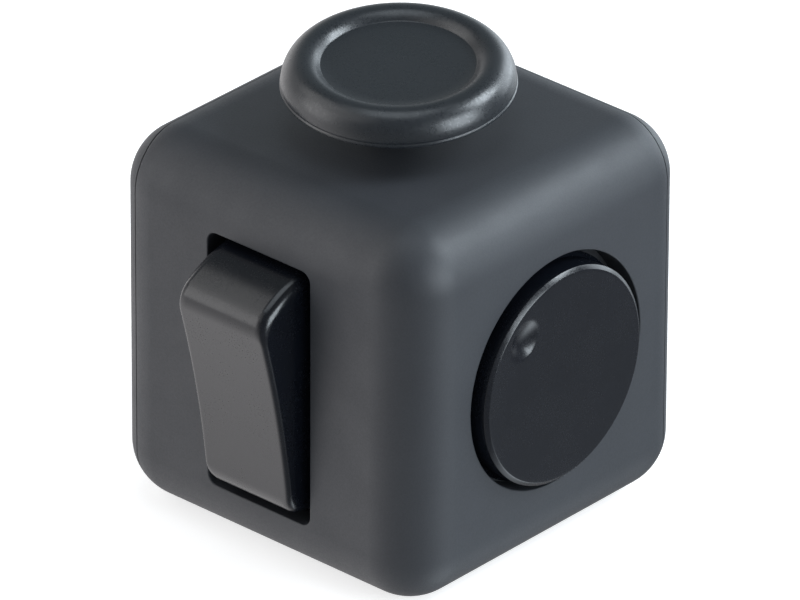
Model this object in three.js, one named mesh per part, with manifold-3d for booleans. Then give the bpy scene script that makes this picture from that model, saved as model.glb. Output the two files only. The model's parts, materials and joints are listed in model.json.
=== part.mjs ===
// A fidget cube: a hollow plastic cube with a different thing to play with on each face.
//   top (+Z)     a joystick on a two-axis gimbal, centred by a spring
//   front (-Y)   a rocker switch with a spring plunger that clicks over a ridge
//   right (+X)   a spinning dial
//   left (-X)    five push buttons, three with click domes and two on silicone pads
//   back (+Y)    three toothed wheels on one axle, and a steel ball that rolls and presses in
//   bottom (-Z)  a smooth dish for the thumb
// Millimetres, +Z up.
import * as THREE from 'three';
import { mergeVertices } from 'three/addons/utils/BufferGeometryUtils.js';
import { RoundedBoxGeometry } from 'three/addons/geometries/RoundedBoxGeometry.js';
import Module from 'manifold-3d';

const wasm = await Module();
wasm.setup();

// ---------------------------------------------------------------- driving dimensions

const cubeSize = 33;
const half = cubeSize / 2;
const edgeRadius = 5;
const wall = 2;
const gap = 0.3; // between pieces that rest on each other
const frameShiftY = 1.6; // brings the middle of the whole outline over the frame's origin

const seamDepth = 2.95; // from a covered face to its seam
const seamGap = 0.2;
const tab = { width: 8, thickness: 1, reach: 3, inset: 3.2 }; // snap tabs of the covers

const screw = { shank: 0.6, head: 1.3, headHeight: 0.8, hole: 0.8 };
const boss = 1.7; // radius of a screw boss

const rocker = {
  halfWidth: 4.6,
  endRadius: 10.8, // the ends sweep round the pivot
  faceHeight: 5.2, // pivot to the middle of the face
  faceRadius: 96, // hollow of the face
  crestRadius: 2.16,
  back: -1.6,
  pivotDepth: 2.5,
  tilt: THREE.MathUtils.degToRad(11),
  opening: { halfWidth: 5.4, low: -11.35, high: 11.25, corner: 0.9 },
  pin: 0.8,
  bore: 0.97,
};

const dial = {
  centreV: 0.2, // its centre lies this far above the middle of the face
  recess: 9.99,
  recessDepth: 2.3,
  side: 9.56,
  rim: 9.19,
  face: 8.84,
  proud: 1.02,
  shaft: 2,
  boss: 11.2,
};

const stick = {
  pivotDepth: 7,
  hole: 4.2,
  dome: 6.2,
  domeThickness: 1,
  domeAngle: THREE.MathUtils.degToRad(57),
  ball: 2.6,
  stem: 2.2,
  stemTop: 11.3, // above the pivot
  trunnion: 0.6,
  trunnionHole: 0.8,
  // At rest it leans a little, as the play in its gimbal allows: towards the front, and to the right.
  leanForward: THREE.MathUtils.degToRad(4.3),
  leanRight: THREE.MathUtils.degToRad(2.7),
};

// Heights are above the cube's top when the stick stands upright.
const cap = {
  rim: 9.34,
  underside: 3.75,
  lip: 4,
  crestRing: 7.2,
  crestHeight: 6.35,
  dish: 6.14,
  dishHeight: 5.64,
};

const button = { pitch: 5.6, radius: 2.35, flange: 3, hole: 2.6, proud: 1.3, stemEnd: 4.3 };

const roller = {
  wheel: 4.6,
  toothDepth: 0.45,
  teeth: 16,
  width: 2.2,
  pitch: 4.3,
  axleV: 5.2,
  axleDepth: 3.7,
  axle: 0.85,
  bore: 1.02,
};

const ball = { radius: 4, depth: 2.7, v: -6.4, cup: 5.1, tube: 5.4 };

// ---------------------------------------------------------------- materials

const plastic = (color, roughness) => new THREE.MeshStandardMaterial({ color, roughness, metalness: 0 });
const metal = (color, roughness) => new THREE.MeshStandardMaterial({ color, roughness, metalness: 1 });
const shellPlastic = plastic(0x3a3c40, 0.6);
const controlPlastic = plastic(0x24262a, 0.4);
const framePlastic = plastic(0x55585c, 0.55);
const silicone = plastic(0xb9bcb8, 0.8);
const steel = metal(0xb4b6b8, 0.35);
const polishedSteel = metal(0xd6d8da, 0.08);

// ---------------------------------------------------------------- solids

// A closed geometry as a solid, with its faces pointing out.
function solid(geometry) {
  const bare = geometry.clone();
  bare.deleteAttribute('normal');
  bare.deleteAttribute('uv');
  const merged = mergeVertices(bare, 1e-4);
  const corners = merged.index.array;
  const build = (flip) => {
    const triangles = [];
    for (let i = 0; i < corners.length; i += 3) {
      const [a, b, c] = [corners[i], corners[i + 1], corners[i + 2]];
      if (a === b || b === c || c === a) continue;
      triangles.push(...(flip ? [a, c, b] : [a, b, c]));
    }
    return new wasm.Manifold(
      new wasm.Mesh({
        numProp: 3,
        vertProperties: new Float32Array(merged.attributes.position.array),
        triVerts: new Uint32Array(triangles),
      }),
    );
  };
  const made = build(false);
  return made.volume() < 0 ? build(true) : made;
}

// A solid's surface as a three.js geometry.
function surface(body) {
  const mesh = body.getMesh();
  const made = new THREE.BufferGeometry();
  made.setAttribute('position', new THREE.BufferAttribute(new Float32Array(mesh.vertProperties), 3));
  made.setIndex(new THREE.BufferAttribute(new Uint32Array(mesh.triVerts), 1));
  return made;
}

const moved = (body, matrix) => solid(surface(body).applyMatrix4(matrix));
const join = (...bodies) => bodies.reduce((a, b) => a.add(b));
const cut = (body, ...tools) => tools.reduce((a, b) => a.subtract(b), body);

function block(x0, x1, y0, y1, z0, z1) {
  const made = new THREE.BoxGeometry(x1 - x0, y1 - y0, z1 - z0);
  return solid(made.translate((x0 + x1) / 2, (y0 + y1) / 2, (z0 + z1) / 2));
}

// A cylinder along one axis from a to b, about the point (p, q) of the other two axes in x, y, z order.
function rod(axis, radius, a, b, p = 0, q = 0, sides = 12) {
  const made = new THREE.CylinderGeometry(radius, radius, b - a, sides);
  const middle = (a + b) / 2;
  if (axis === 'x') made.rotateZ(-Math.PI / 2).translate(middle, p, q);
  if (axis === 'y') made.translate(p, middle, q);
  if (axis === 'z') made.rotateX(Math.PI / 2).translate(p, q, middle);
  return solid(made);
}

// A profile of [radius, z] points turned about Z.
function turned(profile, sides = 24) {
  const points = profile.map(([r, z]) => new THREE.Vector2(r, z));
  return solid(new THREE.LatheGeometry(points, sides).rotateX(Math.PI / 2));
}

// Points on an arc about (cx, cz), angles in degrees from the radius direction.
function arc(cx, cz, radius, from, to, steps) {
  return Array.from({ length: steps + 1 }, (_, i) => {
    const angle = THREE.MathUtils.degToRad(from + ((to - from) * i) / steps);
    return [cx + radius * Math.cos(angle), cz + radius * Math.sin(angle)];
  });
}

function roundedRectangle(x0, x1, y0, y1, r) {
  const shape = new THREE.Shape();
  shape.absarc(x1 - r, y1 - r, r, 0, Math.PI / 2);
  shape.absarc(x0 + r, y1 - r, r, Math.PI / 2, Math.PI);
  shape.absarc(x0 + r, y0 + r, r, Math.PI, 1.5 * Math.PI);
  shape.absarc(x1 - r, y0 + r, r, 1.5 * Math.PI, 2 * Math.PI);
  return shape;
}

function extruded(shape, z0, z1, curveSegments = 4) {
  const made = new THREE.ExtrudeGeometry(shape, { depth: z1 - z0, bevelEnabled: false, curveSegments });
  return solid(made.translate(0, 0, z0));
}

function ellipsoid(a, b, c, x, y, z, turn = 0, sides = 24) {
  const made = new THREE.SphereGeometry(1, sides, sides / 2).rotateX(Math.PI / 2).scale(a, b, c);
  return solid(made.rotateZ(turn).translate(x, y, z));
}

class Helix extends THREE.Curve {
  constructor(radius, z0, z1, turns) {
    super();
    Object.assign(this, { radius, z0, z1, turns });
  }
  getPoint(t, target = new THREE.Vector3()) {
    const angle = 2 * Math.PI * this.turns * t;
    const z = this.z0 + (this.z1 - this.z0) * t;
    return target.set(this.radius * Math.cos(angle), this.radius * Math.sin(angle), z);
  }
}

// A coil spring about Z whose wire lies between z0 and z1.
function coilSpring(radius, wire, z0, z1, turns) {
  const section = new THREE.Shape(
    arc(0, 0, wire, 0, 300, 5).map(([x, y]) => new THREE.Vector2(x, y)),
  );
  const inset = wire * 1.1;
  const path = new Helix(radius, z0 + inset, z1 - inset, turns);
  return solid(new THREE.ExtrudeGeometry(section, { steps: Math.round(turns * 9), extrudePath: path }));
}

// A screw driven towards +Z, with the underside of its head at z.
function screwAt(x, y, z, length) {
  const { shank, head, headHeight } = screw;
  const profile = [
    [0, z - headHeight],
    [head * 0.7, z - headHeight],
    [head, z - headHeight * 0.45],
    [head, z],
    [shank, z],
    [shank, z + length - 0.4],
    [0, z + length],
  ];
  const slotDepth = 0.3;
  const slot = block(-head, head, -0.17, 0.17, z - headHeight - 1, z - headHeight + slotDepth);
  const made = cut(turned(profile, 8), slot);
  return moved(made, new THREE.Matrix4().makeTranslation(x, y, 0));
}

// ---------------------------------------------------------------- faces of the cube

// A face's own frame: u and v lie in the face, w points out of it, and w = 0 is its outer surface.
function faceFrame(u, v, w) {
  const [x, y, z] = [u, v, w].map((a) => new THREE.Vector3(...a));
  const centre = z.clone().multiplyScalar(half).add(new THREE.Vector3(0, 0, half));
  return new THREE.Matrix4().makeBasis(x, y, z).setPosition(centre);
}

const faces = {
  top: faceFrame([1, 0, 0], [0, 1, 0], [0, 0, 1]),
  front: faceFrame([1, 0, 0], [0, 0, 1], [0, -1, 0]),
  right: faceFrame([0, 1, 0], [0, 0, 1], [1, 0, 0]),
  left: faceFrame([0, -1, 0], [0, 0, 1], [-1, 0, 0]),
  back: faceFrame([-1, 0, 0], [0, 0, 1], [0, 1, 0]),
};

const fidgetCube = new THREE.Group();
fidgetCube.position.y = frameShiftY;

const faceGroups = {};
for (const [name, frame] of Object.entries(faces)) {
  const group = new THREE.Group();
  frame.decompose(group.position, group.quaternion, group.scale);
  fidgetCube.add(group);
  faceGroups[name] = group;
}

function piece(parent, name, body, material) {
  const mesh = new THREE.Mesh(surface(body), material);
  mesh.name = name;
  parent.add(mesh);
}

// ---------------------------------------------------------------- casing: shell and two covers

const outer = solid(
  new RoundedBoxGeometry(cubeSize, cubeSize, cubeSize, 3, edgeRadius).translate(0, 0, half),
);
const innerSize = cubeSize - 2 * wall;
const inner = solid(
  new RoundedBoxGeometry(innerSize, innerSize, innerSize, 2, edgeRadius - wall).translate(0, 0, half),
);
const far = cubeSize;
const leftSeam = -half + seamDepth;
const backSeam = half - seamDepth;

const diagonals = [
  [1, 1],
  [-1, 1],
  [-1, -1],
  [1, -1],
];

const housing = { screwAt: 6.6, bossEnd: -3.7, earTop: -4, earBottom: -5.2 };
const well = {
  insideU: 5.5,
  outsideU: 6.6,
  insideV: 11.5,
  outsideV: 12.3,
  floor: -6.5,
  deepFloor: -8.8,
  deepHalf: 4,
  screwU: 8.5,
  bossEnd: -4,
  footTop: -4.3,
  footBottom: -5.6,
};
const dialBossEnd = -3.9;
const thumb = { a: 9.5, b: 7.3, c: 4.2, centre: -2.3, padTop: 3.5 };

function mainShell() {
  const hollow = cut(
    outer,
    inner,
    block(-far, leftSeam + seamGap / 2, -far, far, -far, 2 * far),
    block(-far, far, backSeam - seamGap / 2, far, -far, 2 * far),
  );
  const root = -wall + 0.2; // how deep a boss is rooted in the wall
  const additions = [
    moved(rod('z', dial.boss, dialBossEnd, root, 0, dial.centreV, 32), faces.right),
    thumbPad(),
    ...[-1, 1].map((s) => moved(rod('z', boss, well.bossEnd, root, s * well.screwU, 0), faces.front)),
    ...diagonals.map(([i, j]) =>
      moved(rod('z', boss, housing.bossEnd, root, i * housing.screwAt, j * housing.screwAt), faces.top),
    ),
  ];
  const { opening } = rocker;
  const window = roundedRectangle(
    -opening.halfWidth,
    opening.halfWidth,
    opening.low,
    opening.high,
    opening.corner,
  );
  const holeTop = -0.9;
  const cuts = [
    moved(extruded(window, -wall - 1, 1), faces.front),
    moved(rod('x', rocker.pin + gap, -6.7, 6.7, 0, -rocker.pivotDepth), faces.front),
    moved(rod('z', dial.recess, -dial.recessDepth, 1, 0, dial.centreV, 48), faces.right),
    moved(rod('z', dial.shaft + 0.12, -wall - 3, 0, 0, dial.centreV, 24), faces.right),
    moved(rod('z', stick.hole, -wall - 1, 1, 0, 0, 32), faces.top),
    ellipsoid(thumb.a, thumb.b, thumb.c, 0, 0, thumb.centre, 0, 28),
    ...[-1, 1].map((s) =>
      moved(rod('z', screw.hole, well.bossEnd - 1, holeTop, s * well.screwU, 0), faces.front),
    ),
    ...diagonals.map(([i, j]) =>
      moved(
        rod('z', screw.hole, housing.bossEnd - 1, holeTop, i * housing.screwAt, j * housing.screwAt),
        faces.top,
      ),
    ),
  ];
  return cut(join(hollow, ...additions), ...cuts);
}

// The floor is thicker over the thumb dish.
function thumbPad() {
  const pad = new THREE.CylinderGeometry(1, 1, thumb.padTop - wall + 0.2, 32).rotateX(Math.PI / 2);
  return solid(pad.scale(thumb.a, thumb.b, 1).translate(0, 0, (thumb.padTop + wall - 0.2) / 2));
}

// The part of the cube's wall outside a seam, before its openings are cut.
function coverBlank(region) {
  return cut(outer.intersect(region), inner);
}

// Snap tabs behind a cover, in its face's frame. Each entry says which edge of the face it stands at.
function snapTabs(edges) {
  const { width, thickness, reach, inset } = tab;
  const outside = half - inset;
  const inside = outside - thickness;
  const low = -wall - reach;
  const high = -wall + 0.2;
  const at = {
    top: () => block(-width / 2, width / 2, inside, outside, low, high),
    bottom: () => block(-width / 2, width / 2, -outside, -inside, low, high),
    plusU: () => block(inside, outside, -width / 2, width / 2, low, high),
    minusU: () => block(-outside, -inside, -width / 2, width / 2, low, high),
  };
  return edges.map((edge) => at[edge]());
}

const quincunx = [
  ['upper_front', 1, 1],
  ['upper_back', -1, 1],
  ['centre', 0, 0],
  ['lower_front', 1, -1],
  ['lower_back', -1, -1],
];
const plate = { boss: 8.3, bossEnd: -5.6, top: -5.9, bottom: -7.1, size: 9.6 };
const crossArms = [
  [1, 0],
  [0, 1],
  [-1, 0],
  [0, -1],
];

function buttonFaceCover() {
  const region = block(-far, leftSeam - seamGap / 2, -far, backSeam - seamGap / 2, -far, 2 * far);
  const root = -wall + 0.2;
  const posts = crossArms.map(([i, j]) =>
    moved(rod('z', boss, plate.bossEnd, root, i * plate.boss, j * plate.boss), faces.left),
  );
  const tabs = snapTabs(['top', 'bottom', 'plusU']).map((body) => moved(body, faces.left));
  const holes = quincunx.map(([, i, j]) =>
    moved(rod('z', button.hole, -wall - 1, 1, i * button.pitch, j * button.pitch, 16), faces.left),
  );
  const screwHoles = crossArms.map(([i, j]) =>
    moved(rod('z', screw.hole, plate.bossEnd - 1, -3, i * plate.boss, j * plate.boss), faces.left),
  );
  return cut(join(coverBlank(region), ...posts, ...tabs), ...holes, ...screwHoles);
}

const bracket = {
  plateTop: -2.3,
  plateBottom: -3.5,
  halfWidth: 10,
  low: -11.4,
  high: 11,
  earInner: 7,
  earOuter: 8.7,
  earEnd: -8.3,
  earHalf: 2.2,
  tubeWall: 0.9,
  tubeEnd: -10.7,
  screws: [
    [8.4, 9.4],
    [-8.4, 9.4],
    [8.4, -9.8],
    [-8.4, -9.8],
  ],
};

function rollerFaceCover() {
  const region = block(-far, far, backSeam + seamGap / 2, far, -far, 2 * far);
  const tabs = snapTabs(['top', 'minusU']).map((body) => moved(body, faces.back));
  const slots = [-1, 0, 1].map((i) => {
    const middle = i * roller.pitch;
    const side = roller.width / 2 + gap / 2 + 0.1;
    const slot = rod(
      'x',
      roller.wheel + gap,
      middle - side,
      middle + side,
      roller.axleV,
      -roller.axleDepth,
      32,
    );
    return moved(slot, faces.back);
  });
  const seat = ball.radius + 0.2;
  const ballSeat = moved(ellipsoid(seat, seat, seat, 0, ball.v, -ball.depth, 0, 24), faces.back);
  const screwHoles = bracket.screws.map(([u, v]) =>
    moved(rod('z', screw.hole, -wall - 1, -0.8, u, v), faces.back),
  );
  return cut(join(coverBlank(region), ...tabs), ...slots, ballSeat, ...screwHoles);
}

piece(fidgetCube, 'main_shell', mainShell(), shellPlastic);
piece(fidgetCube, 'button_face_cover', buttonFaceCover(), shellPlastic);
piece(fidgetCube, 'roller_face_cover', rollerFaceCover(), shellPlastic);

// ---------------------------------------------------------------- rocker switch on the front

// The rocker's side outline: x is the height over the pivot, y runs along the face.
function rockerOutline() {
  const { endRadius, faceHeight, faceRadius, crestRadius, back } = rocker;
  let crestX = faceHeight;
  let crestY = 0;
  for (let i = 0; i < 6; i += 1) {
    crestY = Math.sqrt((endRadius - crestRadius) ** 2 - crestX ** 2);
    crestX = faceHeight + faceRadius - Math.sqrt((faceRadius + crestRadius) ** 2 - crestY ** 2);
  }
  const endAngle = Math.atan2(crestY, crestX);
  const faceAngle = Math.atan2(crestY, faceHeight + faceRadius - crestX);
  const backAngle = Math.acos(back / endRadius);
  const shape = new THREE.Shape();
  shape.absarc(0, 0, endRadius, -backAngle, -endAngle);
  shape.absarc(crestX, -crestY, crestRadius, -endAngle, faceAngle);
  shape.absarc(faceHeight + faceRadius, 0, faceRadius, Math.PI + faceAngle, Math.PI - faceAngle, true);
  shape.absarc(crestX, crestY, crestRadius, -faceAngle, endAngle);
  shape.absarc(0, 0, endRadius, endAngle, backAngle);
  return shape;
}

const detent = { stem: 1.7, stemEnd: -4.4, hole: 1.08, holeTop: -1.25, plunger: 0.9, tip: -5.4 };

function rockerSwitch() {
  const { halfWidth, back, bore } = rocker;
  // Outline x becomes w, outline y becomes v, and the extrusion runs along -u.
  const upright = new THREE.Matrix4().makeBasis(
    new THREE.Vector3(0, 0, 1),
    new THREE.Vector3(0, 1, 0),
    new THREE.Vector3(-1, 0, 0),
  );
  const body = moved(extruded(rockerOutline(), -halfWidth, halfWidth, 10), upright);
  const { stem, stemEnd, hole, holeTop } = detent;
  const pocketWall = 1.4;
  const pockets = [-1, 1].map((s) => {
    const [near, end] = [2.6 * s, 8.6 * s];
    return block(
      -halfWidth + pocketWall,
      halfWidth - pocketWall,
      Math.min(near, end),
      Math.max(near, end),
      back - 1,
      3,
    );
  });
  return cut(
    join(body, block(-stem, stem, -stem, stem, stemEnd, back + 0.2)),
    ...pockets,
    rod('z', hole, stemEnd - 1, holeTop),
    rod('x', bore, -halfWidth - 1, halfWidth + 1, 0, 0, 16),
  );
}

// A plunger with a rounded tip that slides in the rocker's stem.
function detentPlunger() {
  const { plunger, tip } = detent;
  const top = -3.45;
  const shoulder = tip + plunger;
  return turned([[0, tip], ...arc(0, shoulder, plunger, -60, 0, 3), [plunger, top], [0, top]], 12);
}

// A tub behind the opening. It carries the pin, and a ridge in its deep middle that the plunger clicks over.
function rockerHousing() {
  const { insideU, outsideU, insideV, outsideV } = well;
  const { floor, deepFloor, deepHalf, screwU, footTop, footBottom } = well;
  const thickness = 0.8;
  const top = -wall - gap;
  const tub = cut(
    block(-outsideU, outsideU, -outsideV, outsideV, floor - thickness, top),
    block(-insideU, insideU, -insideV, insideV, floor, top + 1),
  );
  const sump = block(-outsideU, outsideU, -deepHalf, deepHalf, deepFloor - thickness, floor);
  const sumpHollow = block(-insideU, insideU, 1 - deepHalf, deepHalf - 1, deepFloor, floor + 1);
  const feet = [-1, 1].flatMap((s) => {
    const [near, end] = [s * (outsideU - 0.2), s * screwU];
    return [
      block(Math.min(near, end), Math.max(near, end), -boss, boss, footBottom, footTop),
      rod('z', boss, footBottom, footTop, end, 0),
    ];
  });
  const ridge = new THREE.Shape();
  const ridgeHalf = 1.3;
  ridge.moveTo(-ridgeHalf, deepFloor - 0.2);
  ridge.lineTo(ridgeHalf, deepFloor - 0.2);
  ridge.lineTo(0, -8.05);
  const ridgeTurn = new THREE.Matrix4().makeBasis(
    new THREE.Vector3(0, 1, 0),
    new THREE.Vector3(0, 0, 1),
    new THREE.Vector3(1, 0, 0),
  );
  const clickRidge = moved(extruded(ridge, -1.6, 1.6), ridgeTurn);
  const shaped = join(cut(join(tub, sump, ...feet), sumpHollow), clickRidge);
  return cut(
    shaped,
    rod('x', rocker.pin + 0.12, -outsideU - 1, outsideU + 1, 0, -rocker.pivotDepth, 16),
    ...[-1, 1].map((s) => rod('z', screw.hole, footBottom - 1, footTop + 1, s * screwU, 0)),
  );
}

const rockerGroup = new THREE.Group();
rockerGroup.position.z = -rocker.pivotDepth;
rockerGroup.rotation.x = rocker.tilt;
faceGroups.front.add(rockerGroup);
piece(rockerGroup, 'rocker_switch', rockerSwitch(), controlPlastic);
piece(rockerGroup, 'rocker_detent_plunger', detentPlunger(), steel);
piece(rockerGroup, 'rocker_detent_spring', coilSpring(0.68, 0.16, -3.4, -1.35, 4), steel);
piece(
  faceGroups.front,
  'rocker_pin',
  rod('x', rocker.pin, -6.2, 6.2, 0, -rocker.pivotDepth, 16),
  steel,
);
piece(faceGroups.front, 'rocker_housing', rockerHousing(), framePlastic);
for (const [side, s] of [
  ['left', -1],
  ['right', 1],
]) {
  const made = screwAt(s * well.screwU, 0, well.footBottom - 0.1, 4);
  piece(faceGroups.front, `rocker_housing_screw_${side}`, made, steel);
}

// ---------------------------------------------------------------- dial on the right

function dialDisc() {
  const { side, rim, face, proud, shaft } = dial;
  const under = -dial.recessDepth + gap;
  const shaftEnd = -5.6;
  const profile = [
    [0, shaftEnd],
    [shaft - 0.3, shaftEnd],
    [shaft, shaftEnd + 0.3],
    [shaft, under],
    [3.6, under],
    [3.6, -0.4],
    [8.2, -0.4],
    [8.2, under],
    [side - 0.15, under],
    [side, under + 0.15],
    [side, 0.2],
    [rim + 0.2, 0.7],
    [rim, proud - 0.12],
    [face, proud],
    [0, proud],
  ];
  // The finger hollow lies out towards the rim, longer round the dial than across it.
  const reach = 6.9;
  const bearing = THREE.MathUtils.degToRad(136);
  const hollow = ellipsoid(
    1.6,
    2.35,
    0.9,
    reach * Math.cos(bearing),
    reach * Math.sin(bearing),
    proud + 0.35,
    bearing,
  );
  return cut(turned(profile, 40), hollow, rod('z', screw.hole - 0.1, shaftEnd - 1, -2));
}

function washer(outside, inside, z0, z1) {
  return turned(
    [
      [inside, z0],
      [outside, z0],
      [outside, z1],
      [inside, z1],
      [inside, z0],
    ],
    24,
  );
}

// A ring of spring steel with three low waves.
function waveWasher(outside, inside, thickness, height, z0) {
  const flat = new THREE.RingGeometry(inside, outside, 36, 1);
  const place = flat.attributes.position;
  const lift = (i) => {
    const angle = Math.atan2(place.getY(i), place.getX(i));
    return z0 + (height / 2) * (1 + Math.cos(3 * angle));
  };
  const points = [];
  for (const above of [0, thickness]) {
    for (let i = 0; i < place.count; i += 1) points.push(place.getX(i), place.getY(i), lift(i) + above);
  }
  const ring = 37; // points in one circle of the flat ring, its first point repeated
  const top = place.count;
  const triangles = [];
  const quad = (a, b, c, d) => triangles.push(a, b, c, a, c, d);
  for (let i = 0; i < ring - 1; i += 1) {
    const [in0, in1, out0, out1] = [i, i + 1, ring + i, ring + i + 1];
    quad(in0, in1, out1, out0);
    quad(top + in0, top + out0, top + out1, top + in1);
    quad(out0, out1, top + out1, top + out0);
    quad(in1, in0, top + in0, top + in1);
  }
  const made = new THREE.BufferGeometry();
  made.setAttribute('position', new THREE.Float32BufferAttribute(points, 3));
  made.setIndex(triangles);
  return solid(made);
}

const dialGroup = new THREE.Group();
dialGroup.position.y = dial.centreV;
faceGroups.right.add(dialGroup);
piece(dialGroup, 'dial_disc', dialDisc(), controlPlastic);
piece(dialGroup, 'dial_wave_washer', waveWasher(3.6, 2.35, 0.25, 0.7, -5.25), steel);
piece(dialGroup, 'dial_flat_washer', washer(3.6, 0.8, -6.2, -5.8), steel);
piece(dialGroup, 'dial_screw', screwAt(0, 0, -6.3, 3.6), steel);

// ---------------------------------------------------------------- joystick on the top

// The outside falls from the crest to the lip in a curve flatter than an ellipse.
function capShoulder(steps) {
  const flatness = 1.4;
  return Array.from({ length: steps + 1 }, (_, i) => {
    const angle = (i * Math.PI) / 2 / steps;
    return [
      cap.crestRing + (cap.rim - cap.crestRing) * Math.cos(angle) ** flatness,
      cap.lip + (cap.crestHeight - cap.lip) * Math.sin(angle) ** flatness,
    ];
  });
}

function joystickCap() {
  const { rim, underside, crestRing, crestHeight, dish, dishHeight } = cap;
  const socket = 4.6; // the stem's end stops just under it
  const profile = [
    [0, socket],
    [stick.stem + 0.15, socket],
    [stick.stem + 0.15, underside],
    [3.5, underside],
    [3.5, 4.4],
    [5.8, 4.4],
    [7.2, 5.3],
    [8.1, 4.9],
    [8.5, underside],
    [rim, underside],
    ...capShoulder(6),
    [crestRing - 0.35, crestHeight - 0.06],
    [dish + 0.15, dishHeight + 0.12],
    [dish, dishHeight],
    [0, dishHeight],
  ];
  return turned(profile, 40);
}

// One moulding, about the pivot: foot, ball, dome, stem and the two pins that run in the gimbal ring.
function joystickStem() {
  const { ball: ballRadius, dome, domeThickness, domeAngle, stem, stemTop, trunnion } = stick;
  const post = 1.5;
  const insideDome = dome - domeThickness;
  const rise = (radius, r) => THREE.MathUtils.radToDeg(Math.acos(r / radius));
  const skirt = 90 - THREE.MathUtils.radToDeg(domeAngle);
  const foot = 1;
  const profile = [
    [0, -Math.sqrt(ballRadius ** 2 - foot ** 2)],
    ...arc(0, 0, ballRadius, -rise(ballRadius, foot), rise(ballRadius, post), 6),
    ...arc(0, 0, insideDome, rise(insideDome, post), skirt, 3),
    ...arc(0, 0, dome, skirt, rise(dome, stem), 4),
    [stem, stemTop - 0.3],
    [stem - 0.3, stemTop],
    [0, stemTop],
  ];
  return join(turned(profile, 20), rod('x', trunnion, -4.3, 4.3, 0, 0, 10));
}

const gimbal = { inside: 3.2, outside: 4.7, halfHeight: 0.95, pinEnd: 7 };

function gimbalRing() {
  const { inside, outside, halfHeight, pinEnd } = gimbal;
  const pins = [-1, 1].map((s) =>
    rod('y', stick.trunnion, Math.min(s * 4.4, s * pinEnd), Math.max(s * 4.4, s * pinEnd)),
  );
  const ring = washer(outside, inside, -halfHeight, halfHeight);
  return cut(join(ring, ...pins), rod('x', stick.trunnionHole, -outside - 1, outside + 1));
}

// A cup under the top wall. The ring's pins drop into its two slots, and a spring stands in its foot.
function joystickHousing() {
  const [top, floor, foot] = [4.7, -2, -6.3];
  const [outside, inside, pocketIn, pocketOut] = [7.3, 6.3, 3.1, 4.2];
  const cup = turned(
    [
      [0, foot],
      [pocketIn, foot],
      [pocketIn, floor],
      [inside, floor],
      [inside, top],
      [outside, top],
      [outside, floor - 1],
      [pocketOut, floor - 1],
      [pocketOut, foot - 1],
      [0, foot - 1],
    ],
    24,
  );
  const { screwAt: at, earTop, earBottom } = housing;
  const [earHigh, earLow] = [earTop + stick.pivotDepth, earBottom + stick.pivotDepth];
  const ears = [45, 135, 225, 315].map((degrees) => {
    const arm = block(outside - 0.6, at * Math.SQRT2, -boss, boss, earLow, earHigh);
    const ear = cut(
      join(arm, rod('z', boss, earLow, earHigh, at * Math.SQRT2, 0)),
      rod('z', screw.hole, earLow - 1, earHigh + 1, at * Math.SQRT2, 0),
    );
    return moved(ear, new THREE.Matrix4().makeRotationZ(THREE.MathUtils.degToRad(degrees)));
  });
  const slot = stick.trunnionHole;
  return cut(
    join(cup, ...ears),
    block(-slot, slot, -outside - 1, outside + 1, 0, top + 1),
    rod('y', slot, -outside - 1, outside + 1),
  );
}

const pivotGroup = new THREE.Group();
pivotGroup.position.z = -stick.pivotDepth;
faceGroups.top.add(pivotGroup);
const ringGroup = new THREE.Group();
ringGroup.rotation.y = stick.leanRight;
pivotGroup.add(ringGroup);
const stickGroup = new THREE.Group();
stickGroup.rotation.x = stick.leanForward;
ringGroup.add(stickGroup);
const ontoPivot = new THREE.Matrix4().makeTranslation(0, 0, stick.pivotDepth);
piece(stickGroup, 'joystick_cap', moved(joystickCap(), ontoPivot), controlPlastic);
piece(stickGroup, 'joystick_stem', joystickStem(), controlPlastic);
piece(ringGroup, 'joystick_gimbal_ring', gimbalRing(), framePlastic);
piece(pivotGroup, 'joystick_housing', joystickHousing(), framePlastic);
piece(pivotGroup, 'joystick_spring_plate', rod('z', 2.8, -3.4, -2.75, 0, 0, 24), framePlastic);
piece(pivotGroup, 'joystick_return_spring', coilSpring(2.2, 0.25, -6.2, -3.5, 3), steel);
diagonals.forEach(([i, j], n) => {
  const made = screwAt(i * housing.screwAt, j * housing.screwAt, housing.earBottom - 0.1, 3.6);
  piece(faceGroups.top, `joystick_housing_screw_${n + 1}`, made, steel);
});

// ---------------------------------------------------------------- push buttons on the left

function buttonCap() {
  const { radius, flange, proud, stemEnd } = button;
  const edge = 0.6; // rounding of the button's edge
  return turned(
    [
      [0, -stemEnd],
      [1.3, -stemEnd],
      [1.3, -3.1],
      [flange, -3.1],
      [flange, -wall - gap],
      [radius, -wall - gap],
      ...arc(radius - edge, proud - edge - 0.25, edge, 0, 70, 3),
      [radius * 0.4, proud - 0.05],
      [0, proud],
    ],
    16,
  );
}

// A snap dome of thin spring steel, open underneath.
function clickDome() {
  const [radius, height, thickness, base] = [2.3, 0.9, 0.25, -5.65];
  const crown = (radius ** 2 + height ** 2) / (2 * height);
  const spread = THREE.MathUtils.radToDeg(Math.asin(radius / crown));
  const centre = base + height - crown;
  return turned(
    [
      ...arc(0, centre, crown - thickness, 90, 90 - spread, 3),
      ...arc(0, centre, crown, 90 - spread, 90, 3),
    ],
    14,
  );
}

function siliconePad() {
  return turned(
    [
      [0, -5.65],
      [2, -5.65],
      [2, -5.3],
      [1.4, -4.6],
      [0, -4.6],
    ],
    14,
  );
}

function buttonBackPlate() {
  const { size, top, bottom } = plate;
  const outline = roundedRectangle(-size, size, -size, size, 3);
  const corners = diagonals.map(([i, j]) => rod('z', 2, bottom - 1, top + 1, i * size, j * size));
  const screwHoles = crossArms.map(([i, j]) =>
    rod('z', screw.hole, bottom - 1, top + 1, i * plate.boss, j * plate.boss),
  );
  return cut(extruded(outline, bottom, top), ...corners, ...screwHoles);
}

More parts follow.
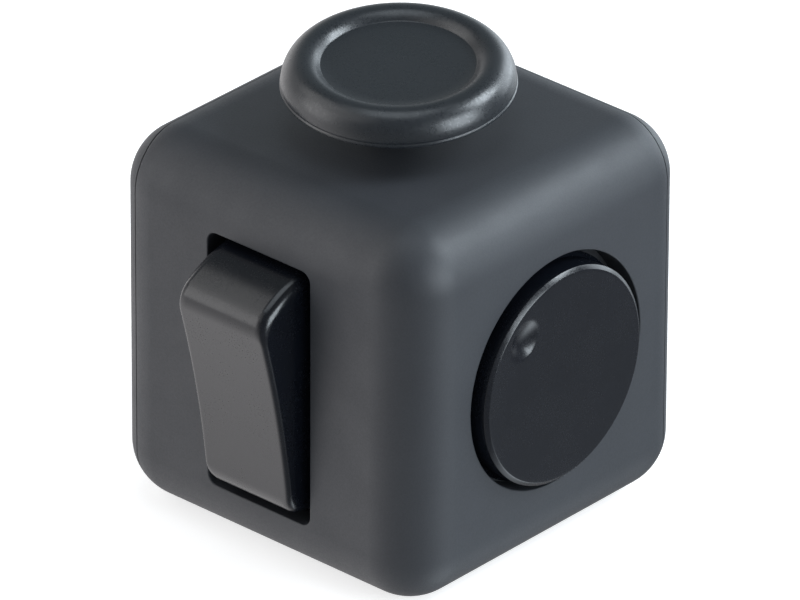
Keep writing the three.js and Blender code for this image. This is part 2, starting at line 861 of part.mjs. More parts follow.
for (const [name, i, j] of quincunx) {
  const group = new THREE.Group();
  group.position.set(i * button.pitch, j * button.pitch, 0);
  faceGroups.left.add(group);
  piece(group, `button_${name}`, buttonCap(), controlPlastic);
  const silent = j !== 0 && i === -1;
  if (silent) piece(group, `silicone_pad_${name}`, siliconePad(), silicone);
  else piece(group, `click_dome_${name}`, clickDome(), steel);
}
piece(faceGroups.left, 'button_back_plate', buttonBackPlate(), framePlastic);
crossArms.forEach(([i, j], n) => {
  const made = screwAt(i * plate.boss, j * plate.boss, plate.bottom - 0.1, 3.6);
  piece(faceGroups.left, `button_plate_screw_${n + 1}`, made, steel);
});

// ---------------------------------------------------------------- wheels and ball on the back

function toothedWheel() {
  const { wheel, toothDepth, teeth, width, bore } = roller;
  const outline = new THREE.Shape();
  const root = wheel - toothDepth;
  const step = (2 * Math.PI) / teeth;
  for (let i = 0; i < teeth; i += 1) {
    for (const [radius, share] of [
      [root, 0],
      [wheel, 0.2],
      [wheel, 0.6],
      [root, 0.8],
    ]) {
      const angle = (i + share) * step;
      const point = [radius * Math.cos(angle), radius * Math.sin(angle)];
      if (i === 0 && share === 0) outline.moveTo(...point);
      else outline.lineTo(...point);
    }
  }
  const turn = new THREE.Matrix4().makeRotationY(Math.PI / 2);
  const body = moved(extruded(outline, -width / 2, width / 2), turn);
  return cut(body, rod('x', bore, -width, width, 0, 0, 16));
}

// A frame behind the cover: two ears for the axle, and a tube for the ball's cup.
function rollerBracket() {
  const { plateTop, plateBottom, halfWidth, low, high } = bracket;
  const { earInner, earOuter, earEnd, earHalf, tubeWall, tubeEnd, screws } = bracket;
  const outline = roundedRectangle(-halfWidth, halfWidth, low, high, 2);
  const windowHalf = earInner - 0.1;
  const wheelRoom = roller.wheel + 0.5;
  const ears = [-1, 1].map((s) =>
    block(
      Math.min(s * earInner, s * earOuter),
      Math.max(s * earInner, s * earOuter),
      roller.axleV - earHalf,
      roller.axleV + earHalf,
      earEnd,
      plateTop,
    ),
  );
  const tube = rod('z', ball.tube + tubeWall, tubeEnd, plateBottom + 0.2, 0, ball.v, 28);
  return cut(
    join(extruded(outline, plateBottom, plateTop), ...ears, tube),
    block(
      -windowHalf,
      windowHalf,
      roller.axleV - wheelRoom,
      roller.axleV + wheelRoom,
      plateBottom - 1,
      plateTop + 1,
    ),
    rod('z', ball.tube, tubeEnd + 1, plateTop + 1, 0, ball.v, 28),
    rod('z', 1.5, tubeEnd - 1, tubeEnd + 2, 0, ball.v),
    rod('x', roller.axle + 0.12, -far, far, roller.axleV, -roller.axleDepth, 16),
    ...screws.map(([u, v]) => rod('z', screw.hole, plateBottom - 1, plateTop + 1, u, v)),
    ...[-1, 1].map((s) => rod('z', screw.hole, earEnd - 1, -5.2, s * leaf.screwU, roller.axleV)),
  );
}

// A leaf spring across the backs of the wheels, bowed towards their teeth.
const leaf = { screwU: 7.85, halfWidth: 8.5, top: -8.6, thickness: 0.3, halfHeight: 1.4 };

function clickLeaf() {
  const { screwU, halfWidth, top, thickness, halfHeight } = leaf;
  const strip = block(-halfWidth, halfWidth, -halfHeight, halfHeight, top - thickness, top);
  const windows = [-1, 1].map((s) =>
    block(-6.4, 6.4, s > 0 ? 0.5 : -1, s > 0 ? 1 : -0.5, top - 1, top + 1),
  );
  const holes = [-1, 1].map((s) => rod('z', screw.hole, top - 1, top + 1, s * screwU, 0));
  return moved(cut(strip, ...windows, ...holes), new THREE.Matrix4().makeTranslation(0, roller.axleV, 0));
}

for (const [name, i] of [
  ['left', -1],
  ['middle', 0],
  ['right', 1],
]) {
  const group = new THREE.Group();
  group.position.set(i * roller.pitch, roller.axleV, -roller.axleDepth);
  faceGroups.back.add(group);
  piece(group, `roller_wheel_${name}`, toothedWheel(), controlPlastic);
}
piece(
  faceGroups.back,
  'roller_axle',
  rod('x', roller.axle, -bracket.earOuter, bracket.earOuter, roller.axleV, -roller.axleDepth, 16),
  steel,
);
piece(faceGroups.back, 'roller_bracket', rollerBracket(), framePlastic);
piece(faceGroups.back, 'roller_click_spring', clickLeaf(), steel);
bracket.screws.forEach(([u, v], n) => {
  const made = screwAt(u, v, bracket.plateBottom - 0.1, 2.6);
  piece(faceGroups.back, `roller_bracket_screw_${n + 1}`, made, steel);
});
for (const [side, s] of [
  ['left', -1],
  ['right', 1],
]) {
  const made = screwAt(s * leaf.screwU, roller.axleV, leaf.top - leaf.thickness - 0.1, 3);
  piece(faceGroups.back, `click_spring_screw_${side}`, made, steel);
}

const ballGroup = new THREE.Group();
ballGroup.position.set(0, ball.v, -ball.depth);
faceGroups.back.add(ballGroup);

function ballCup() {
  const back = -5;
  const seat = ball.radius + 0.2;
  return turned(
    [
      [0, back],
      [ball.cup, back],
      [ball.cup, -0.5],
      ...arc(0, 0, seat, -7, -90, 5),
    ],
    24,
  );
}

const sphere = ellipsoid(ball.radius, ball.radius, ball.radius, 0, 0, 0, 0, 20);
piece(ballGroup, 'rolling_ball', sphere, polishedSteel);
piece(ballGroup, 'ball_cup', ballCup(), framePlastic);
piece(ballGroup, 'ball_spring', coilSpring(3.6, 0.25, -6.9, -5.15, 2.5), steel);

export default fidgetCube;
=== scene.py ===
"""Fidget cube: the finished surfaces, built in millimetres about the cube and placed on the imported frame.

Each control's own section makes its meshes. The sides, covers and controls replace their faceted solids,
and the mechanisms inside keep theirs, with materials of their own.
"""

import json
import math

import bmesh
import bpy
from mathutils import Matrix, Vector


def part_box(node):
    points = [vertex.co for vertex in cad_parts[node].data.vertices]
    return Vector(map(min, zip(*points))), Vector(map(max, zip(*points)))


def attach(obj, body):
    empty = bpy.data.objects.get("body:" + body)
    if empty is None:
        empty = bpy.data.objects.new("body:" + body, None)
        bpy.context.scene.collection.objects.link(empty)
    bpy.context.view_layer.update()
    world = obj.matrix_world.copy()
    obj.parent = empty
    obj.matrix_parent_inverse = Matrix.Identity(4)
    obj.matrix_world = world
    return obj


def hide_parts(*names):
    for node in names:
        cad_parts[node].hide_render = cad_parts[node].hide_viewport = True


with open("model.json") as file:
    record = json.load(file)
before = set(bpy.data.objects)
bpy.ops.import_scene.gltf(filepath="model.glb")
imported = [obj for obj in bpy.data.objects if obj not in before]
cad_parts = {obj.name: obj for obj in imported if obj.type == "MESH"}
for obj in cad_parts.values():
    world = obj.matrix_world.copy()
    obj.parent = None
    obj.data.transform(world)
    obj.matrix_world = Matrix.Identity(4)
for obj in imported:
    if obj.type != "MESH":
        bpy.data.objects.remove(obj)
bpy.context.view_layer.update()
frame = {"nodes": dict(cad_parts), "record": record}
nodes = frame["nodes"]

# ------------------------------------------------------------------ sizes, in millimetres

MM = 0.001
HALF = 16.5
EDGE = 5.0
WALL = 2.0
FLAT = HALF - EDGE  # half the width of a face's flat middle
SEAM = HALF - 2.95
SEAM_GAP = 0.12

shell_low, shell_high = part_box("main_shell")
CUBE_FOOT = Vector((shell_high.x - HALF * MM, shell_low.y + HALF * MM, 0.0))
TO_FRAME = Matrix.Translation(CUBE_FOOT) @ Matrix.Scale(MM, 4)
MIDDLE = Vector((0, 0, HALF))


def face_frame(u, v, w):
    """A face's own frame: u and v lie in the face, and w points out of it from the outer surface."""
    u, v, w = Vector(u), Vector(v), Vector(w)
    turn = Matrix((u, v, w)).transposed().to_4x4()
    return Matrix.Translation(MIDDLE + w * HALF) @ turn


TOP = face_frame((1, 0, 0), (0, 1, 0), (0, 0, 1))
FRONT = face_frame((1, 0, 0), (0, 0, 1), (0, -1, 0))
RIGHT = face_frame((0, 1, 0), (0, 0, 1), (1, 0, 0))
LEFT = face_frame((0, -1, 0), (0, 0, 1), (-1, 0, 0))
BACK = face_frame((-1, 0, 0), (0, 0, 1), (0, 1, 0))

# ------------------------------------------------------------------ camera

# The camera stands well back with a long lens, and looks down on the edge between the front and right faces.
camera_angles = {
    "azimuth": math.radians(41.929),
    "elevation": math.radians(28.737),
    "roll": math.radians(0.262),
}
camera_distance = 0.97629
camera_shift = (0.000016, 0.000341)  # sideways and up, metres
camera_lens = 555.2


def make_camera():
    azimuth, elevation, roll = camera_angles.values()
    back = Vector(
        (
            math.sin(azimuth) * math.cos(elevation),
            -math.cos(azimuth) * math.cos(elevation),
            math.sin(elevation),
        )
    )
    level = Vector((math.cos(azimuth), math.sin(azimuth), 0))
    above = back.cross(level)
    right = level * math.cos(roll) + above * math.sin(roll)
    up = above * math.cos(roll) - level * math.sin(roll)
    centre = CUBE_FOOT + MIDDLE * MM
    data = bpy.data.cameras.new("camera")
    data.sensor_width = 36
    data.lens = camera_lens
    data.clip_start = 0.05
    data.clip_end = 20
    camera = bpy.data.objects.new("camera", data)
    bpy.context.scene.collection.objects.link(camera)
    place = centre + back * camera_distance + right * camera_shift[0] + up * camera_shift[1]
    camera.matrix_world = Matrix.Translation(place) @ Matrix((right, up, back)).transposed().to_4x4()
    bpy.context.scene.camera = camera


make_camera()

# ------------------------------------------------------------------ materials


class Graph:
    """Node-building shorthand for one material."""

    def __init__(self, name):
        self.material = bpy.data.materials.new(name)
        self.material.use_nodes = True
        self.tree = self.material.node_tree
        self.shader = self.tree.nodes["Principled BSDF"]
        self.place = self.add("ShaderNodeTexCoord").outputs["Object"]

    def add(self, kind, **settings):
        node = self.tree.nodes.new(kind)
        for key, value in settings.items():
            setattr(node, key, value)
        return node

    def link(self, source, target):
        self.tree.links.new(source, target)

    def noise(self, scale, detail=2.0, roughness=0.5, stretch=(1, 1, 1)):
        node = self.add("ShaderNodeTexNoise")
        node.inputs["Scale"].default_value = scale
        node.inputs["Detail"].default_value = detail
        node.inputs["Roughness"].default_value = roughness
        place = self.place
        if stretch != (1, 1, 1):
            mapping = self.add("ShaderNodeMapping")
            mapping.inputs["Scale"].default_value = stretch
            self.link(place, mapping.inputs["Vector"])
            place = mapping.outputs["Vector"]
        self.link(place, node.inputs["Vector"])
        return node.outputs["Fac"]

    def remap(self, value, low, high, to_low, to_high):
        node = self.add("ShaderNodeMapRange")
        settings = {"From Min": low, "From Max": high, "To Min": to_low, "To Max": to_high}
        for key, number in settings.items():
            node.inputs[key].default_value = number
        self.link(value, node.inputs["Value"])
        return node.outputs["Result"]

    def math(self, operation, a, b):
        node = self.add("ShaderNodeMath", operation=operation)
        for socket, value in zip(node.inputs, (a, b)):
            if isinstance(value, (int, float)):
                socket.default_value = value
            else:
                self.link(value, socket)
        return node.outputs["Value"]

    def mix(self, factor, a, b):
        node = self.add("ShaderNodeMix", data_type="RGBA")
        self.link(factor, node.inputs["Factor"])
        for name, colour in (("A", a), ("B", b)):
            socket = next(s for s in node.inputs if s.name == name and s.type == "RGBA")
            socket.default_value = (*colour, 1)
        return next(s for s in node.outputs if s.type == "RGBA")

    def bump(self, height, strength, distance, under=None):
        node = self.add("ShaderNodeBump")
        node.inputs["Strength"].default_value = strength
        node.inputs["Distance"].default_value = distance
        self.link(height, node.inputs["Height"])
        if under is not None:
            self.link(under, node.inputs["Normal"])
        return node.outputs["Normal"]

    def set(self, name, value):
        socket = self.shader.inputs[name]
        if isinstance(value, (int, float)):
            socket.default_value = value
        elif isinstance(value, tuple):
            socket.default_value = (*value, 1)
        else:
            self.link(value, socket)


def moulded_plastic(name, dark, light, roughness, grain, grain_scale, specular=0.5):
    """Injection-moulded plastic: an even colour with a faint cloud in it, and a spark-eroded grain."""
    g = Graph(name)
    cloud = g.remap(g.noise(90, 4, 0.6), 0.3, 0.7, 0, 1)
    speck = g.remap(g.noise(5200, 2, 0.5), 0.35, 0.65, 0, 1)
    tone = g.math("ADD", g.math("MULTIPLY", cloud, 0.6), g.math("MULTIPLY", speck, 0.4))
    g.set("Base Color", g.mix(tone, dark, light))
    patch = g.remap(g.noise(260, 3, 0.6), 0.3, 0.7, -0.03, 0.03)
    fine = g.remap(g.noise(grain_scale, 1, 0.5), 0.3, 0.7, -0.05, 0.05)
    g.set("Roughness", g.math("ADD", g.math("ADD", patch, fine), roughness))
    texture = g.noise(grain_scale, 2, 0.55)
    waves = g.bump(g.noise(420, 2, 0.5), 0.05, 0.00004)
    g.set("Normal", g.bump(texture, grain, 0.00002, waves))
    g.set("Specular IOR Level", specular)
    g.set("IOR", 1.5)
    return g.material


def plated_steel(name, colour, roughness, scratch):
    """Steel with fine scratches that run every way, and a slight mottle in its gloss."""
    g = Graph(name)
    long_marks = g.noise(900, 3, 0.7, (1, 1, 14))
    cross_marks = g.noise(900, 3, 0.7, (12, 1, 1))
    marks = g.math("MAXIMUM", g.remap(long_marks, 0.56, 0.7, 0, 1), g.remap(cross_marks, 0.58, 0.72, 0, 1))
    mottle = g.noise(700, 3, 0.6)
    darker = tuple(channel * 0.8 for channel in colour)
    g.set("Base Color", g.mix(g.remap(mottle, 0.3, 0.7, 0, 1), darker, colour))
    dulled = g.remap(marks, 0, 1, 0, 0.18)
    gloss = g.remap(mottle, 0.3, 0.7, roughness, roughness + 0.08)
    g.set("Roughness", g.math("ADD", dulled, gloss))
    g.set("Normal", g.bump(marks, scratch, 0.000006))
    g.set("Metallic", 1.0)
    return g.material


def soft_silicone():
    g = Graph("silicone")
    cloud = g.remap(g.noise(800, 3, 0.5), 0.3, 0.7, 0, 1)
    g.set("Base Color", g.mix(cloud, (0.42, 0.43, 0.41), (0.5, 0.51, 0.49)))
    g.set("Roughness", g.remap(g.noise(2500, 2, 0.5), 0.3, 0.7, 0.5, 0.65))
    g.set("Normal", g.bump(g.noise(3000, 2, 0.5), 0.2, 0.00002))
    g.set("Subsurface Weight", 0.25)
    g.set("Subsurface Scale", 0.001)
    return g.material


def white_floor():
    g = Graph("floor")
    g.set("Base Color", g.mix(g.noise(20, 2, 0.5), (0.6, 0.6, 0.6), (0.62, 0.62, 0.62)))
    g.set("Roughness", 0.9)
    g.set("Specular IOR Level", 0.0)
    g.set("Emission Color", (1.0, 1.0, 1.0))
    g.set("Emission Strength", 0.7)
    return g.material


SHELL = moulded_plastic("shell_plastic", (0.0195, 0.022, 0.027), (0.026, 0.029, 0.035), 0.54, 0.3, 7000)
SATIN = moulded_plastic("satin_plastic", (0.0028, 0.0038, 0.0062), (0.0042, 0.0053, 0.0084), 0.23, 0.01, 6000)
SPARKED = moulded_plastic(
    "grained_cap_plastic", (0.0095, 0.012, 0.015), (0.013, 0.016, 0.02), 0.31, 0.35, 4200, specular=0.6
)
FRAME = moulded_plastic("frame_plastic", (0.075, 0.08, 0.086), (0.1, 0.105, 0.112), 0.5, 0.2, 3000)
STEEL = plated_steel("steel", (0.56, 0.56, 0.57), 0.26, 0.25)
POLISHED = plated_steel("polished_steel", (0.72, 0.72, 0.74), 0.06, 0.08)
SILICONE = soft_silicone()

# ------------------------------------------------------------------ mesh tools


def new_object(name, mesh):
    thing = bpy.data.objects.new(name, mesh)
    bpy.context.scene.collection.objects.link(thing)
    return thing


def mesh_object(name, points, faces, frame_matrix=None):
    """A mesh in millimetres, about the cube's foot, from points in a local frame."""
    mesh = bpy.data.meshes.new(name)
    mesh.from_pydata([tuple(p) for p in points], [], faces)
    if frame_matrix is not None:
        mesh.transform(frame_matrix)
    tidy = bmesh.new()
    tidy.from_mesh(mesh)
    bmesh.ops.remove_doubles(tidy, verts=tidy.verts, dist=1e-5)
    bmesh.ops.recalc_face_normals(tidy, faces=tidy.faces)
    tidy.to_mesh(mesh)
    tidy.free()
    return new_object(name, mesh)


def settle(thing):
    """Applies an object's modifiers to its mesh."""
    graph = bpy.context.evaluated_depsgraph_get()
    made = bpy.data.meshes.new_from_object(thing.evaluated_get(graph))
    thing.modifiers.clear()
    old = thing.data
    thing.data = made
    bpy.data.meshes.remove(old)


def boolean(thing, tool, operation="DIFFERENCE"):
    modifier = thing.modifiers.new("cut", "BOOLEAN")
    modifier.operation = operation
    modifier.solver = "EXACT"
    modifier.object = tool
    settle(thing)
    bpy.data.objects.remove(tool)


def join(things):
    """One object from several whose solids don't touch."""
    gathered = bmesh.new()
    for thing in things:
        gathered.from_mesh(thing.data)
        bpy.data.objects.remove(thing)
    mesh = bpy.data.meshes.new("joined")
    gathered.to_mesh(mesh)
    gathered.free()
    return new_object("joined", mesh)


def finish_piece(thing, name, material, body, slot, *replaced):
    """Smooth shading that keeps flats flat, then the piece takes its place, finish and body."""
    thing.name = name
    mesh = thing.data
    mesh.name = name
    mesh.transform(TO_FRAME)
    mesh.shade_smooth()
    mesh.set_sharp_from_angle(angle=math.radians(38))
    weighted = thing.modifiers.new("even_normals", "WEIGHTED_NORMAL")
    weighted.keep_sharp = True
    weighted.weight = 50
    settle(thing)
    thing.data.name = name
    thing.data.materials.clear()
    thing.data.materials.append(material)
    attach(thing, body)
    if replaced:
        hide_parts(*replaced)
    return thing


def lathe(profile, sides, frame_matrix):
    """A closed profile of (radius, height) points turned about a local frame's w axis."""
    points, rings, faces = [], [], []
    for radius, height in profile:
        if radius < 1e-6:
            rings.append([len(points)])
            points.append((0, 0, height))
            continue
        rings.append(list(range(len(points), len(points) + sides)))
        for i in range(sides):
            angle = 2 * math.pi * i / sides
            points.append((radius * math.cos(angle), radius * math.sin(angle), height))
    for low, high in zip(rings, rings[1:] + rings[:1]):
        if len(low) == 1 and len(high) == 1:
            continue
        for i in range(sides):
            j = (i + 1) % sides
            corners = [low[i % len(low)], low[j % len(low)], high[j % len(high)], high[i % len(high)]]
            corners = [c for k, c in enumerate(corners) if c not in corners[:k]]
            faces.append(corners)
    return mesh_object("lathe", points, faces, frame_matrix)


def rounded(corners, steps=6):
    """A path through (x, y, fillet) corners, with an arc at each corner that has a fillet."""
    path = []
    count = len(corners)
    for i, (x, y, fillet) in enumerate(corners):
        here = Vector((x, y))
        if fillet <= 0 or i in (0, count - 1):
            path.append((x, y))
            continue
        before = (Vector(corners[i - 1][:2]) - here).normalized()
        after = (Vector(corners[i + 1][:2]) - here).normalized()
        half_angle = before.angle(after) / 2
        centre = here + (before + after).normalized() * (fillet / math.sin(half_angle))
        start = here + before * (fillet / math.tan(half_angle)) - centre
        end = here + after * (fillet / math.tan(half_angle)) - centre
        sweep = start.angle_signed(end)
        for k in range(steps + 1):
            turn = Matrix.Rotation(-sweep * k / steps, 2)
            path.append(tuple(centre + turn @ start))
    return path


def arc(cx, cy, radius, start, end, steps):
    """Points on an arc, angles in degrees."""
    angles = [math.radians(start + (end - start) * k / steps) for k in range(steps + 1)]
    return [(cx + radius * math.cos(a), cy + radius * math.sin(a)) for a in angles]


def rounded_rectangle(x0, x1, y0, y1, r, steps=8):
    path = []
    corners = ((x1 - r, y1 - r, 0), (x0 + r, y1 - r, 90), (x0 + r, y0 + r, 180), (x1 - r, y0 + r, 270))
    for cx, cy, start in corners:
        path += arc(cx, cy, r, start, start + 90, steps)
    return path


def prism(outline, w0, w1, frame_matrix):
    """An outline in a face's frame, given depth."""
    count = len(outline)
    points = [(x, y, w0) for x, y in outline] + [(x, y, w1) for x, y in outline]
    faces = [list(range(count)), list(range(count, 2 * count))]
    faces += [[i, (i + 1) % count, count + (i + 1) % count, count + i] for i in range(count)]
    return mesh_object("prism", points, faces, frame_matrix)


def drum(radius, w0, w1, frame_matrix, u=0.0, v=0.0, sides=96):
    place = frame_matrix @ Matrix.Translation((u, v, 0))
    return lathe([(0, w0), (radius, w0), (radius, w1), (0, w1)], sides, place)


def egg(a, b, c, place, sides=96):
    """An ellipsoid with half-lengths a, b and c in a local frame."""
    half_turn = [math.pi * k / (sides // 2) for k in range(sides // 2 + 1)]
    profile = [(math.sin(t), -math.cos(t)) for t in half_turn]
    return lathe(profile, sides, place @ Matrix.Diagonal((a, b, c, 1)))


def slab(x0, x1, y0, y1, z0, z1, frame_matrix=None):
    return prism([(x0, y0), (x1, y0), (x1, y1), (x0, y1)], z0, z1, frame_matrix or Matrix.Identity(4))


def stitch(loops, around):
    """Points and faces of a skin over equal loops. Around, it closes on itself, and if not it is capped."""
    count = len(loops[0])
    points = [p for loop in loops for p in loop]
    faces = [] if around else [list(range(count)), list(range(len(points) - count, len(points)))]
    for k in range(len(loops) if around else len(loops) - 1):
        after = (k + 1) % len(loops)
        for i in range(count):
            j = (i + 1) % count
            faces.append([k * count + i, k * count + j, after * count + j, after * count + i])
    return points, faces


# ------------------------------------------------------------------ casing


def rounded_cube(half, edge, steps):
    """A cube about MIDDLE with round edges and corners, and one quad for the flat of each face."""
    flat = half - edge
    angles = [math.pi / 4 * k / steps for k in range(steps, 0, -1)]
    ramp = [flat + edge * math.tan(a) for a in angles]
    line = [-r for r in ramp] + [-flat, flat] + ramp[::-1]
    made = bmesh.new()
    for axis in range(3):
        for side in (-1, 1):
            grid = []
            for a in line:
                row = []
                for b in line:
                    spot = [0.0, 0.0, 0.0]
                    spot[axis] = side * half
                    spot[(axis + 1) % 3] = a
                    spot[(axis + 2) % 3] = b
                    spot = Vector(spot)
                    core = Vector([max(-flat, min(flat, value)) for value in spot])
                    row.append(made.verts.new(core + (spot - core).normalized() * edge + MIDDLE))
                grid.append(row)
            for i in range(len(line) - 1):
                for j in range(len(line) - 1):
                    made.faces.new((grid[i][j], grid[i + 1][j], grid[i + 1][j + 1], grid[i][j + 1]))
    bmesh.ops.remove_doubles(made, verts=made.verts, dist=1e-4)
    bmesh.ops.recalc_face_normals(made, faces=made.faces)
    mesh = bpy.data.meshes.new("rounded_cube")
    made.to_mesh(mesh)
    made.free()
    return new_object("rounded_cube", mesh)


SEAM_ROUNDING = 0.05
ON_SKIN = 0.003  # a point this near the outer surface counts as on it


def skin_depth(point):
    """How far a point lies inside the cube's outer surface."""
    offset = point - MIDDLE
    core = Vector([max(-FLAT, min(FLAT, value)) for value in offset])
    return EDGE - (offset - core).length


def soften_openings(thing, radius):
    """Rounds the sharp edges where openings and seams meet the outer surface."""
    for width, at_seam in ((SEAM_ROUNDING, True), (radius, False)):
        made = bmesh.new()
        made.from_mesh(thing.data)
        edges = []
        for edge in made.edges:
            if len(edge.link_faces) != 2 or edge.calc_face_angle(0) < math.radians(35):
                continue
            ends = [v.co for v in edge.verts]
            if any(abs(skin_depth(p)) > ON_SKIN for p in ends):
                continue
            on_flat = all(max(abs(c) for c in p - MIDDLE) > HALF - ON_SKIN for p in ends)
            if on_flat != at_seam:
                edges.append(edge)
        bmesh.ops.bevel(
            made,
            geom=edges,
            offset=width,
            offset_type="OFFSET",
            segments=2 if at_seam else 4,
            profile=0.5,
            affect="EDGES",
            clamp_overlap=at_seam,
        )
        made.to_mesh(thing.data)
        made.free()


BOSS = 1.7
HOUSING_BOSS = 6.6
WELL_BOSS = 8.5
ROOT = -WALL + 0.2  # posts and tabs start inside the wall
DIAL_CENTRE = 0.2
DIAL_RECESS = {"radius": 9.99, "depth": 2.3, "boss": 11.2, "boss_end": -3.9, "shaft_bore": 2.12}
STICK_HOLE = 4.2
OPENING = {"u": 5.4, "low": -11.35, "high": 11.25, "corner": 0.9}
THUMB_DISH = {"along": 9.5, "across": 7.3, "up": 4.2, "centre": -2.3, "pad_low": 1.8, "pad_high": 3.5}
DIAGONALS = ((1, 1), (-1, 1), (-1, -1), (1, -1))
FAR = 40.0


def hollow_cube():
    cube = rounded_cube(HALF, EDGE, 10)
    boolean(cube, rounded_cube(HALF - WALL, EDGE - WALL, 3))
    return cube


def main_shell():
    shell = hollow_cube()
    boolean(shell, slab(-FAR, -SEAM + SEAM_GAP / 2, -FAR, FAR, -FAR, FAR))
    boolean(shell, slab(-FAR, FAR, SEAM - SEAM_GAP / 2, FAR, -FAR, FAR))
    recess = DIAL_RECESS
    along, across, up, centre, pad_low, pad_high = THUMB_DISH.values()
    additions = [drum(recess["boss"], recess["boss_end"], ROOT, RIGHT, 0, DIAL_CENTRE)]
    additions += [drum(BOSS, -4, ROOT, FRONT, s * WELL_BOSS, 0, 32) for s in (-1, 1)]
    additions += [drum(BOSS, -3.7, ROOT, TOP, i * HOUSING_BOSS, j * HOUSING_BOSS, 32) for i, j in DIAGONALS]
    additions.append(drum(1, pad_low, pad_high, Matrix.Diagonal((along, across, 1, 1))))
    boolean(shell, join(additions), "UNION")
    half_width, low, high, corner = OPENING.values()
    cuts = [
        prism(rounded_rectangle(-half_width, half_width, low, high, corner), -WALL - 1, 1, FRONT),
        drum(recess["radius"], -recess["depth"], 1, RIGHT, 0, DIAL_CENTRE, 160),
        drum(STICK_HOLE, -WALL - 1, 1, TOP),
        egg(along, across, up, Matrix.Translation((0, 0, centre)), 128),
    ]
    boolean(shell, join(cuts))
    boolean(shell, drum(recess["shaft_bore"], -5, -1, RIGHT, 0, DIAL_CENTRE, 64))
    soften_openings(shell, 0.13)
    return finish_piece(shell, "shell_moulding", SHELL, "casing", "shell_plastic", "main_shell")


PITCH = 5.6
BUTTON_HOLE = 2.6
QUINCUNX = {
    "upper_front": (1, 1),
    "upper_back": (-1, 1),
    "centre": (0, 0),
    "lower_front": (1, -1),
    "lower_back": (-1, -1),
}
PLATE_BOSS = 8.3
CROSS = ((1, 0), (0, 1), (-1, 0), (0, -1))


def snap_tab(frame_matrix, edge):
    outside, inside, reach = 13.3, 12.3, 4
    boxes = {
        "top": (-reach, reach, inside, outside),
        "bottom": (-reach, reach, -outside, -inside),
        "plus_u": (inside, outside, -reach, reach),
        "minus_u": (-outside, -inside, -reach, reach),
    }
    return slab(*boxes[edge], -WALL - 3, ROOT, frame_matrix)


def button_cover():
    cover = hollow_cube()
    boolean(cover, slab(-SEAM - SEAM_GAP / 2, FAR, -FAR, FAR, -FAR, FAR))
    boolean(cover, slab(-FAR, FAR, SEAM - SEAM_GAP / 2, FAR, -FAR, FAR))
    posts = [drum(BOSS, -5.6, ROOT, LEFT, i * PLATE_BOSS, j * PLATE_BOSS, 32) for i, j in CROSS]
    tabs = [snap_tab(LEFT, edge) for edge in ("top", "bottom", "plus_u")]
    boolean(cover, join(posts + tabs), "UNION")
    holes = [drum(BUTTON_HOLE, -WALL - 1, 1, LEFT, i * PITCH, j * PITCH, 64) for i, j in QUINCUNX.values()]
    boolean(cover, join(holes))
    soften_openings(cover, 0.2)
    return finish_piece(cover, "button_cover", SHELL, "casing", "shell_plastic", "button_face_cover")


WHEEL = {
    "radius": 4.6,
    "depth": 0.45,
    "teeth": 16,
    "width": 2.2,
    "pitch": 4.3,
    "v": 5.2,
    "w": -3.7,
    "bore": 1.02,
    "hub": 1.9,
    "web": 3.3,
    "web_depth": 0.25,
}
BALL = {"radius": 4.0, "v": -6.4, "w": -2.7}


def roller_cover():
    cover = hollow_cube()
    boolean(cover, slab(-FAR, FAR, -FAR, SEAM + SEAM_GAP / 2, -FAR, FAR))
    tabs = [snap_tab(BACK, edge) for edge in ("top", "minus_u")]
    boolean(cover, join(tabs), "UNION")
    side = WHEEL["width"] / 2 + 0.25
    cuts = []
    for i in (-1, 0, 1):
        across = BACK @ Matrix.Translation((i * WHEEL["pitch"], WHEEL["v"], WHEEL["w"]))
        across = across @ Matrix.Rotation(math.pi / 2, 4, "Y")
        cuts.append(drum(WHEEL["radius"] + 0.3, -side, side, across))
    seat = BALL["radius"] + 0.2
    cuts.append(egg(seat, seat, seat, BACK @ Matrix.Translation((0, BALL["v"], BALL["w"]))))
    boolean(cover, join(cuts))
    soften_openings(cover, 0.15)
    return finish_piece(cover, "roller_cover", SHELL, "casing", "shell_plastic", "roller_face_cover")


main_shell()
button_cover()
roller_cover()

# ------------------------------------------------------------------ rocker switch

ROCKER = {
    "half_width": 4.6,
    "end": 10.8,
    "height": 5.2,
    "hollow": 96.0,
    "crest": 2.16,
    "back": -1.6,
    "pivot": -2.5,
    "tilt": math.radians(11),
    "edge": 0.45,
    "corner": 1.0,
    "plunger_bore": 1.08,
    "pin_bore": 0.97,
}


def rocker_outline(face_inset, end_inset):
    """The rocker's side outline as (height, along) points, with its face and its ends drawn in."""
    crest = ROCKER["crest"]
    end = ROCKER["end"] - end_inset
    height = ROCKER["height"] - face_inset
    hollow = ROCKER["hollow"] + face_inset
    cx, cy = height, 0.0
    for _ in range(12):
        cy = math.sqrt((end - crest) ** 2 - cx**2)
        cx = height + hollow - math.sqrt((hollow + crest) ** 2 - cy**2)
    end_angle = math.degrees(math.atan2(cy, cx))
    face_angle = math.degrees(math.atan2(cy, height + hollow - cx))
    back_angle = math.degrees(math.acos(ROCKER["back"] / end))
    path = arc(0, 0, end, -back_angle, -end_angle, 24)
    path += arc(cx, -cy, crest, -end_angle, face_angle, 24)[1:]
    path += arc(height + hollow, 0, hollow, 180 + face_angle, 180 - face_angle, 40)[1:]
    path += arc(cx, cy, crest, -face_angle, end_angle, 24)[1:]
    path += arc(0, 0, end, end_angle, back_angle, 24)[1:]
    return path


def rounding(radius, gap):
    """How far a rounded edge has drawn in at this gap from the side."""
    return radius - math.sqrt(radius**2 - (radius - gap) ** 2) if gap < radius else 0.0


